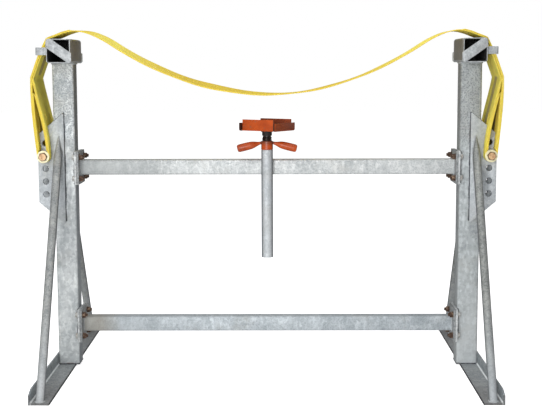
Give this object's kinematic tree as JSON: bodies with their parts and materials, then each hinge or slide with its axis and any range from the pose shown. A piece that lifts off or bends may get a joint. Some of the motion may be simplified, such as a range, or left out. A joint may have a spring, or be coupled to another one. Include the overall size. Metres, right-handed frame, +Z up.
{
  "type": "catamaran stern stand",
  "caption": "Steel trestle that cradles a catamaran's stern in a wide webbing sling hung between two braced posts, with a screw jack and tray on its cross beam.",
  "frame": {"origin": "on the floor, in the middle between both ground angles", "axes": "+X along the cross beams towards the right post, +Y to the back, away from the jack's side, +Z up"},
  "size_m": [2.173, 1.44, 1.5883],
  "materials": {
    "galvanised_steel": "hot-dip galvanised, weathered matt grey with faint spangle",
    "yellow_zinc": "yellow passivated zinc plating",
    "orange_paint": "orange-red paint on steel and castings, satin",
    "greased_screw": "dark greased steel",
    "yellow_webbing": "woven yellow polyester lifting webbing, sewn"
  },
  "bodies": {
    "frame": {"foot_angle_left": "galvanised_steel", "foot_angle_right": "galvanised_steel", "post_left": "galvanised_steel", "post_right": "galvanised_steel", "head_tube_left": "galvanised_steel", "head_tube_right": "galvanised_steel", "head_strip_front_left": "galvanised_steel", "head_strip_front_right": "galvanised_steel", "head_strip_rear_left": "galvanised_steel", "head_strip_rear_right": "galvanised_steel", "strap_keeper_left": "galvanised_steel", "strap_keeper_right": "galvanised_steel", "strap_plate_front_left": "galvanised_steel", "strap_plate_front_right": "galvanised_steel", "strap_plate_rear_left": "galvanised_steel", "strap_plate_rear_right": "galvanised_steel", "front_brace_left": "galvanised_steel", "front_brace_right": "galvanised_steel", "rear_brace_left": "galvanised_steel", "rear_brace_right": "galvanised_steel", "post_flange_upper_left": "galvanised_steel", "post_flange_upper_right": "galvanised_steel", "post_flange_lower_left": "galvanised_steel", "post_flange_lower_right": "galvanised_steel", "beam_flange_upper_left": "galvanised_steel", "beam_flange_upper_right": "galvanised_steel", "beam_flange_lower_left": "galvanised_steel", "beam_flange_lower_right": "galvanised_steel", "upper_beam": "galvanised_steel", "lower_beam": "galvanised_steel", "jack_tube": "galvanised_steel", "strap_sleeve_front_left": "galvanised_steel", "strap_sleeve_front_right": "galvanised_steel", "strap_sleeve_middle_left": "galvanised_steel", "strap_sleeve_middle_right": "galvanised_steel", "strap_sleeve_rear_left": "galvanised_steel", "strap_sleeve_rear_right": "galvanised_steel", "strap_bolt_left": "yellow_zinc", "strap_bolt_right": "yellow_zinc", "strap_bolt_nut_left": "yellow_zinc", "strap_bolt_nut_right": "yellow_zinc", "strap_washer_front_left": "yellow_zinc", "strap_washer_front_right": "yellow_zinc", "strap_washer_rear_left": "yellow_zinc", "strap_washer_rear_right": "yellow_zinc", "sling_body": "yellow_webbing", "sling_eye_left": "yellow_webbing", "sling_eye_right": "yellow_webbing"},
    "jack_screw": {"jack_screw": "greased_screw"},
    "jack_nut": {"jack_nut": "orange_paint"},
    "jack_tray": {"jack_tray": "orange_paint"}
  },
  "joints": [
    {"name": "jack_lift", "type": "slide", "parent": "frame", "child": "jack_screw", "axis": [0, 0, 1], "range_m": [-0.022, 0.108]},
    {"name": "nut_turn", "type": "hinge", "parent": "frame", "child": "jack_nut", "pos_m": [0, -0.0623, 1.054], "axis": [0, 0, 1], "range_deg": [-5556, 1133]},
    {"name": "tray_swivel", "type": "hinge", "parent": "jack_screw", "child": "jack_tray", "pos_m": [0, -0.0623, 1.111], "axis": [0, 0, 1], "continuous": true}
  ],
  "couplings": [
    {"joint": "nut_turn", "follows": "jack_lift", "rad_per_m": -897.6}
  ]
}
